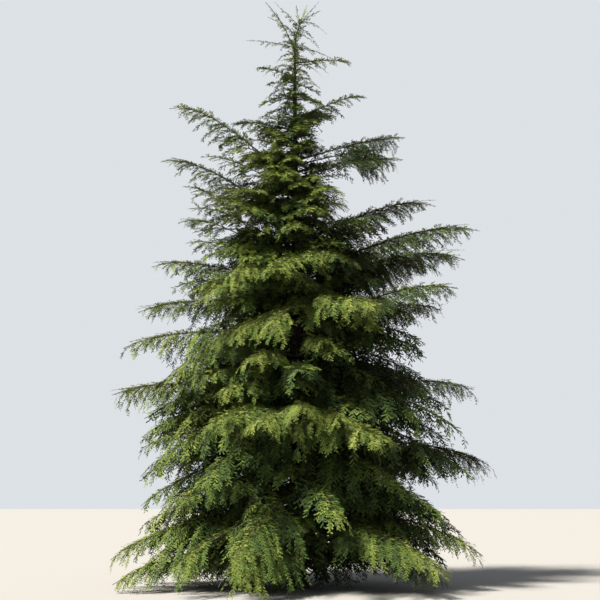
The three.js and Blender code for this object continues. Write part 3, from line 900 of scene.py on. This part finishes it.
def leader_stem():
    """The leader's wood."""
    share = np.linspace(0, 1, LEADER_RINGS)
    angle = 2 * np.pi * np.arange(LIMB_SIDES) / LIMB_SIDES
    ring = np.stack([np.cos(angle), np.sin(angle), 0 * angle], axis=-1)
    radius = mix(TRUNK_TOP_RADIUS, LEADER_TIP_RADIUS, share)
    points = leader_curve(share)[:, None] + ring * radius[:, None, None]
    return points.reshape(-1, 3), tube_faces(LEADER_RINGS, LIMB_SIDES)


def stem_shoots(kind, rng):
    """Shoots all round the upper trunk and the leader, shorter towards the top."""
    count = kind["count"]
    z = np.linspace(*kind["heights"], count)
    above = np.clip((z - TRUNK_TOP) / (LEADER_TOP - TRUNK_TOP), 0, 1)
    start = np.where((z < TRUNK_TOP)[:, None], trunk_middle(z), leader_curve(above))
    turn = np.radians(GOLDEN_ANGLE * np.arange(count))
    rise = np.tan(np.radians(rng.uniform(*kind["rise"], count)))
    heading = np.stack([np.cos(turn), np.sin(turn), rise], axis=-1)
    length = rng.uniform(*kind["length"], count) * mix(1, STEM_SHORTENING, above)
    sag = rng.uniform(*kind["sag"], count)
    return Shoots(start, heading, length, sag, kind["radius"], LEADER_OUTWARD, **SLENDER)


def leader_shoots():
    """The shoots round the leader, each from the leader's middle line to its own tip."""
    foot, azimuth, reach, tip, sag = np.array(LEADER_SHOOTS).T
    start = leader_curve((foot - TRUNK_TOP) / (LEADER_TOP - TRUNK_TOP))
    turn = np.radians(azimuth)
    way = np.stack([reach * np.cos(turn), reach * np.sin(turn), tip - foot], axis=-1)
    straight = np.linalg.norm(way, axis=-1)
    way = way + UP * (sag * straight)[:, None]
    length = np.linalg.norm(way, axis=-1)
    sag, radius = sag * straight / length, LEADER_SHOOT_THICKNESS * length
    return Shoots(start, way, length, sag, radius, LEADER_OUTWARD, **SLENDER)


def grown_on(parents, rule, rng):
    """The next finer order of shoots, alternately on both sides of their parents."""
    pitch = rule["pitch"] * parents.coarse
    rows, share, hand = spaced(rng, parents.length, pitch, rule["first"], rule["last"])
    count = len(rows)
    along = parents.tangent(rows, share)
    aside = parents.across[rows] * hand[:, None]
    angle = np.radians(rng.uniform(*rule["angle"], count))[:, None]
    heading = along * np.cos(angle) + aside * np.sin(angle)
    droop = rng.uniform(*rule["droop"], count) * parents.hang[rows]
    heading = heading - UP * droop[:, None]
    over = np.cross(along, parents.across[rows])
    across = np.cross(over, heading)
    taper = np.minimum(1, LENGTH_AT_FOOT + LENGTHENING * share) * (1 - share) ** rule["taper_power"]
    length = parents.bears[rows] * parents.length[rows] * taper * rng.uniform(*rule["spread"], count)
    length = np.clip(length, rule["shortest"], rule["longest"])
    outward = parents.outward[rows] + (1 - parents.outward[rows]) * OUTWARD_ALONG_PARENT * share
    radius = rule["radius"] * (LEAST_THICKNESS + THICKENING * length / rule["longest"])
    sag = rng.uniform(*rule["sag"], count)
    start, coarse, tone = parents.point(rows, share), parents.coarse[rows], parents.tone[rows]
    bears = rule["bears"]
    return Shoots(start, heading, length, sag, radius, outward, across, bears, coarse, tone=tone)


def shoot_wood(shoots, joints):
    """Thin tapered wood for each shoot, bent at that many joints and closed in a point."""
    count, sides = len(shoots), WOOD_SIDES
    rows = np.arange(count)
    rings = []
    for k in range(joints + 1):
        share = np.full(count, k / (joints + 1))
        along = shoots.tangent(rows, share)
        across = square_to(along, shoots.across)
        over = np.cross(along, across)
        radius = (shoots.radius * (1 - WOOD_TAPER * share))[:, None]
        for side in range(sides):
            angle = 2 * math.pi * side / sides
            spoke = across * math.cos(angle) + over * math.sin(angle)
            rings.append(shoots.point(rows, share) + spoke * radius)
    rings.append(shoots.point(rows, np.ones(count)))
    points = np.stack(rings, axis=1)
    faces = []
    for k in range(joints):
        for side in range(sides):
            a, b = k * sides + side, k * sides + (side + 1) % sides
            faces += [(a, b, b + sides), (a, b + sides, a + sides)]
    last, tip = joints * sides, (joints + 1) * sides
    faces += [(last + side, last + (side + 1) % sides, tip) for side in range(sides)]
    first = np.arange(count)[:, None, None] * points.shape[1]
    return points.reshape(-1, 3), (np.array(faces)[None] + first).reshape(-1, 3)


def needles_on(shoots, rng):
    """Needles in two ranks along each shoot, as (points, quads), larger and fewer inside the crown."""
    growth = mix(INNER_GROWTH, 1, np.clip(shoots.outward, 0, 1)) * shoots.coarse
    counts = np.maximum(2, np.round(shoots.length * NEEDLES_PER_METRE / growth)).astype(int)
    rows, order = numbered(counts)
    count = len(rows)
    share = (order + rng.uniform(*NEEDLE_JITTER, count)) / counts[rows]
    hand = (1.0 - 2.0 * (order % 2))[:, None]
    along = shoots.tangent(rows, share)
    across = square_to(along, shoots.across[rows])
    over = np.cross(along, across)
    angle = np.radians(rng.uniform(*NEEDLE_ANGLE, count))[:, None]
    lift = np.radians(rng.uniform(*NEEDLE_LIFT, count))[:, None]
    aside = across * hand * np.cos(lift) + over * np.sin(lift)
    way = along * np.cos(angle) + aside * np.sin(angle)
    roll, pitching = rng.normal(0, NEEDLE_ROLL, count), rng.normal(0, NEEDLE_PITCHING, count)
    flat = unit(over + across * roll[:, None] + along * pitching[:, None])
    wide = unit(np.cross(flat, way))
    size = growth[rows][:, None]
    length = (rng.uniform(*NEEDLE_LENGTH, count) * mix(*NEEDLE_TAPER, share**2))[:, None] * size
    half = 0.5 * NEEDLE_WIDTH * size
    base = shoots.point(rows, share)
    end = base + way * length
    at_base, at_end = wide * half * NEEDLE_BASE_SHARE, wide * half * NEEDLE_END_SHARE
    points = np.stack([base - at_base, base + at_base, end + at_end, end - at_end], axis=1)
    points = points[points[..., 2].min(axis=1) > LOWEST_NEEDLE]
    faces = np.arange(len(points) * 4).reshape(-1, 4)
    return points.reshape(-1, 3), faces


# Materials


def put(tree, socket, value):
    """Puts another node's output, or else a plain value, on an input."""
    if isinstance(value, bpy.types.NodeSocket):
        tree.links.new(value, socket)
    else:
        socket.default_value = value


def plug(tree, node, **inputs):
    """Fills a node's named inputs."""
    for name, value in inputs.items():
        put(tree, node.inputs[name.replace("_", " ")], value)
    return node


def add_node(tree, kind, **inputs):
    return plug(tree, tree.nodes.new(kind), **inputs)


def add_math(tree, kind, operation, *inputs):
    """The output of a shader node that works on its inputs in turn."""
    node = tree.nodes.new(kind)
    node.operation = operation
    for socket, value in zip(node.inputs, inputs):
        put(tree, socket, value)
    return node.outputs[0]


def principled(name, colour, roughness, specular=SPECULAR):
    """A material with one plain base colour."""
    material = bpy.data.materials.new(name)
    material.use_nodes = True
    tree, paint = material.node_tree, (*colour, 1)
    shader = tree.nodes["Principled BSDF"]
    plug(tree, shader, Base_Color=paint, Roughness=roughness, Specular_IOR_Level=specular)
    material.diffuse_color = paint
    return material


def bark_material(name, stretch, crack_floor):
    """Grey-brown bark: pale scaly plates, dark cracks between them, and a trace of green."""
    material = principled(name, BARK_COLOUR, BARK_ROUGHNESS)
    tree = material.node_tree
    place = add_node(tree, "ShaderNodeTexCoord").outputs["Object"]
    scaling = add_node(tree, "ShaderNodeMapping", Vector=place, Scale=(1, 1, stretch))
    scaled = scaling.outputs["Vector"]

    wander = add_node(tree, "ShaderNodeTexNoise", Vector=scaled, **WANDER).outputs["Color"]
    width = (WANDER_WIDTH,) * 3
    moved = add_math(tree, "ShaderNodeVectorMath", "MULTIPLY_ADD", wander, width, scaled)

    plates = add_node(tree, "ShaderNodeTexVoronoi", Vector=moved, Scale=PLATE_SCALE)
    plates.feature = "DISTANCE_TO_EDGE"
    edge = plates.outputs["Distance"]
    cracks = add_node(tree, "ShaderNodeMapRange", Value=edge, From_Max=CRACK_WIDTH, To_Min=crack_floor)
    grain = add_node(tree, "ShaderNodeTexNoise", Vector=moved, **GRAIN).outputs["Fac"]
    relief = add_math(tree, "ShaderNodeMath", "MULTIPLY", grain, cracks.outputs["Result"])

    colours = add_node(tree, "ShaderNodeValToRGB", Fac=relief)
    stops = colours.color_ramp.elements
    stops[0].position, stops[0].color = CRACK_STOP
    stops[1].position, stops[1].color = PLATE_STOP
    stops.new(EDGE_STOP[0]).color = EDGE_STOP[1]

    patches = add_node(tree, "ShaderNodeTexNoise", Vector=place, **LICHEN).outputs["Fac"]
    spread = add_node(tree, "ShaderNodeMapRange", Value=patches, **LICHEN_SPREAD).outputs["Result"]
    lichen = tree.nodes.new("ShaderNodeMix")
    lichen.data_type = "RGBA"
    plug(tree, lichen, Factor=spread, A=colours.outputs["Color"], B=LICHEN_COLOUR)

    bump = add_node(tree, "ShaderNodeBump", Height=relief, Strength=BARK_STRENGTH, Distance=BARK_DEPTH)
    skin, normal = lichen.outputs["Result"], bump.outputs["Normal"]
    plug(tree, tree.nodes["Principled BSDF"], Base_Color=skin, Normal=normal)
    return material


# Pieces


def add_piece(name, points, faces, material, smooth=False):
    """A mesh object from arrays, where all faces have the same number of corners."""
    mesh = bpy.data.meshes.new(name)
    corners = faces.shape[1]
    mesh.vertices.add(len(points))
    mesh.vertices.foreach_set("co", points.astype(np.float32).ravel())
    mesh.loops.add(faces.size)
    mesh.loops.foreach_set("vertex_index", faces.astype(np.int32).ravel())
    mesh.polygons.add(len(faces))
    mesh.polygons.foreach_set("loop_start", np.arange(0, faces.size, corners, dtype=np.int32))
    mesh.polygons.foreach_set("use_smooth", np.full(len(faces), smooth))
    mesh.update(calc_edges=True)
    mesh.materials.append(material)
    piece = bpy.data.objects.new(name, mesh)
    bpy.context.scene.collection.objects.link(piece)
    return piece


def dress(piece, nodes):
    """Says what the piece rides on, which nodes it replaces."""
    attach(piece, "root")
    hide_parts(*nodes)


def add_in_parts(name, points, faces, material, nodes):
    """One kind of foliage as pieces of limited size."""
    triangles = len(faces) * (faces.shape[1] - 2)
    parts = math.ceil(triangles / MOST_TRIANGLES)
    for k, some in enumerate(np.array_split(faces, parts)):
        used, renumbered = np.unique(some, return_inverse=True)
        piece = add_piece(f"{name}_{k + 1}", points[used], renumbered.reshape(some.shape), material)
        dress(piece, nodes)


def crown_share(shoots):
    """How far out each shoot stands: 0 at the trunk, 1 where the crown ends at its height."""
    middle = shoots.middle()
    reach = np.interp(middle[:, 2], CROWN_HEIGHTS, CROWN_REACHES)
    return np.minimum(1, np.hypot(middle[:, 0], middle[:, 1]) / reach)


def dealt_tints(shoots, rng):
    """A tint for each shoot: deep inside the crown, partly as painted shade, and golden only at its outer
    tips.
    """
    high = high_up(shoots.start)
    # Lower inside the crown: partly the tree's older needles, partly painted shade
    level = mix(mix(*TINT_RANGE_LOW, shoots.outward), mix(*TINT_RANGE_HIGH, shoots.outward), high)
    # Painted light on the sunny side of the crown, painted shade on the far side
    sunny = math.radians(SUNNY_SIDE)
    towards_sun = shoots.start[:, 0] * math.cos(sunny) + shoots.start[:, 1] * math.sin(sunny)
    level = level + mix(*SUN_SIDE_PAINTED_LIGHT, high) * np.clip(towards_sun, -1, 1)
    # Painted light on rising shoots, painted shade on hanging ones
    level = level + RISING_PAINTED_LIGHT * shoots.heading[:, 2]
    level = level + shoots.tone + rng.normal(0, TINT_FINE_SPREAD, len(shoots))
    return np.clip(np.round(level), 0, len(TINTS) - 1).astype(int)


def add_bark(limbs, boughs):
    """The trunk, then all limbs and the leader's stem as one piece."""
    rng = np.random.default_rng(BARK_SEED)
    bark = bark_material("bark of the trunk", **TRUNK_BARK)
    trunk = add_piece("bark_trunk", *trunk_mesh(rng), bark, smooth=True)
    dress(trunk, ["trunk"])
    wood = joined([limb_mesh(limb, rng) for limb in limbs] + [leader_stem()])
    bark = bark_material("bark of the boughs", **BOUGH_BARK)
    limb_wood = add_piece("bark_boughs", *wood, bark, smooth=True)
    dress(limb_wood, boughs + ["foliage_leader"])


def branchlets_on(laterals, slender, rng):
    """What long laterals bear low in the crown and high up, and what slender shoots bear."""
    fronds = laterals.chosen(laterals.length > BRANCHLETS_FROM_LENGTH)
    is_high = fronds.high > rng.random(len(fronds))
    return [
        grown_on(fronds.chosen(~is_high), BRANCHLETS, rng),
        grown_on(fronds.chosen(is_high), FINGERS, rng),
        grown_on(slender.chosen(slender.bears > 0), SPURS, rng),
    ]


def grown_shoots(limbs, rng):
    """Every order of shoots: laterals, slender ones, tips, branchlets and twiglets."""
    laterals = cleared(together([laterals_of(limb, rng) for limb in limbs]))
    forks = [forks_of(limb, rng) for limb in limbs[:MAIN_LIMBS]]
    slender = cleared(together([*forks, leader_shoots(), stem_shoots(STEM_ARCS, rng)]))
    short = [crest_of(limb, rng) for limb in limbs] + [stem_shoots(STEM_SHORT, rng)]
    leader_tip = stretches(leader_curve(np.linspace(0, 1, TIP_STRETCHES + 1)), LEADER_ACROSS)
    tips = out_of_the_openings(together([*map(tip_of, limbs), leader_tip]))
    branchlets = cleared(together(branchlets_on(laterals, slender, rng) + short))
    bearing = branchlets.chosen(branchlets.length > TWIGLETS_FROM_LENGTH)
    twiglets = off_the_ground(grown_on(bearing, TWIGLETS, rng))
    return laterals, slender, tips, branchlets, twiglets


def add_twigs(laterals, slender, branchlets, twiglets, masses):
    """The wood of every order of shoots."""
    brown = principled("lateral wood", SIDE_WOOD_COLOUR, SIDE_WOOD_ROUGHNESS)
    buff = principled("young twigs", TWIG_COLOUR, TWIG_ROUGHNESS)
    side_wood = shoot_wood(together([laterals, slender]), joints=2)
    add_in_parts("twigs_side", *side_wood, brown, masses)
    bends = branchlets.length > BENDS_FROM_LENGTH
    bent = shoot_wood(branchlets.chosen(bends), joints=1)
    straight = shoot_wood(branchlets.chosen(~bends), joints=0)
    add_in_parts("twigs_branchlets", *joined([bent, straight]), buff, masses)
    add_in_parts("twigs_fine", *shoot_wood(twiglets, joints=0), buff, masses)


def add_needles(bearing, masses, rng):
    """The needles of all shoots, one kind of piece to each tint."""
    bearing.outward = mix(bearing.outward, crown_share(bearing), CROWN_WEIGHT)
    tints = dealt_tints(bearing, rng)
    for k, (name, colour) in enumerate(TINTS.items()):
        material = principled(f"{name} needles", colour, NEEDLE_ROUGHNESS, NEEDLE_SPECULAR)
        needles = needles_on(bearing.chosen(tints == k), rng)
        add_in_parts(f"needles_{name}", *needles, material, masses)


def add_tree(frame):
    """The whole tree, in place of the frame's trunk, boughs and masses of foliage."""
    masses = [name for name in frame["nodes"] if name.startswith("foliage")]
    boughs = [name for name in frame["nodes"] if name.startswith("bough")]
    rng = np.random.default_rng(GROWTH_SEED)
    limbs = main_limbs() + lesser_boughs(rng)
    add_bark(limbs, boughs)
    laterals, slender, tips, branchlets, twiglets = grown_shoots(limbs, rng)
    add_twigs(laterals, slender, branchlets, twiglets, masses)
    add_needles(together([laterals, slender, tips, branchlets, twiglets]), masses, rng)


# Studio


def add_floor():
    corners = FLOOR_HALF_SIDE * np.array([(-1, -1, 0), (1, -1, 0), (1, 1, 0), (-1, 1, 0)])
    paint = principled("pale floor", FLOOR_COLOUR, FLOOR_ROUGHNESS)
    floor = add_piece("floor", corners, np.array([[0, 1, 2, 3]]), paint)


def add_world():
    """Soft light all round, and a brighter backdrop where the camera looks past the tree."""
    world = bpy.data.worlds.new("pale studio")
    bpy.context.scene.world = world
    world.use_nodes = True
    tree = world.node_tree
    soft = plug(tree, tree.nodes["Background"], **SOFT_LIGHT)
    seen = add_node(tree, "ShaderNodeBackground", **BACKDROP)
    path = add_node(tree, "ShaderNodeLightPath")
    choice = add_node(tree, "ShaderNodeMixShader", Fac=path.outputs["Is Camera Ray"])
    put(tree, choice.inputs[1], soft.outputs["Background"])
    put(tree, choice.inputs[2], seen.outputs["Background"])
    plug(tree, tree.nodes["World Output"], Surface=choice.outputs["Shader"])


def add_key():
    """One broad sun-like light from the upper left, on the camera's side."""
    light = bpy.data.lights.new("key", "SUN")
    light.energy = KEY_ENERGY
    light.angle = math.radians(KEY_WIDTH)
    light.color = KEY_COLOUR
    key = bpy.data.objects.new("key", light)
    bpy.context.scene.collection.objects.link(key)
    key.rotation_euler = (math.radians(KEY_TILT), 0, math.radians(KEY_TURN))


def add_camera():
    """The photograph's own point of view, a little above the ground and tilted up."""
    lens = bpy.data.cameras.new("camera")
    lens.lens = CAMERA_LENS
    lens.sensor_width = CAMERA_SENSOR
    lens.clip_end = CAMERA_SEES_TO
    camera = bpy.data.objects.new("camera", lens)
    bpy.context.scene.collection.objects.link(camera)
    camera.location = CAMERA_PLACE
    camera.rotation_euler = (math.radians(90 + CAMERA_TILT), 0, 0)
    bpy.context.scene.camera = camera


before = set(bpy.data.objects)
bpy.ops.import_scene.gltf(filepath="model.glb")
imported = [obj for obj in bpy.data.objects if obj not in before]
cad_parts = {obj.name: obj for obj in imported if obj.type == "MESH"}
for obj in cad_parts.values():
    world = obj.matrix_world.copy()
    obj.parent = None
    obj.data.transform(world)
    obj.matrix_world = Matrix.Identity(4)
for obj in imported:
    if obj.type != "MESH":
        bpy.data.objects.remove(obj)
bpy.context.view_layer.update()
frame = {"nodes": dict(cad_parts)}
add_camera()
add_world()
add_key()
add_floor()
add_tree(frame)
bpy.context.scene.view_settings.view_transform = "Standard"
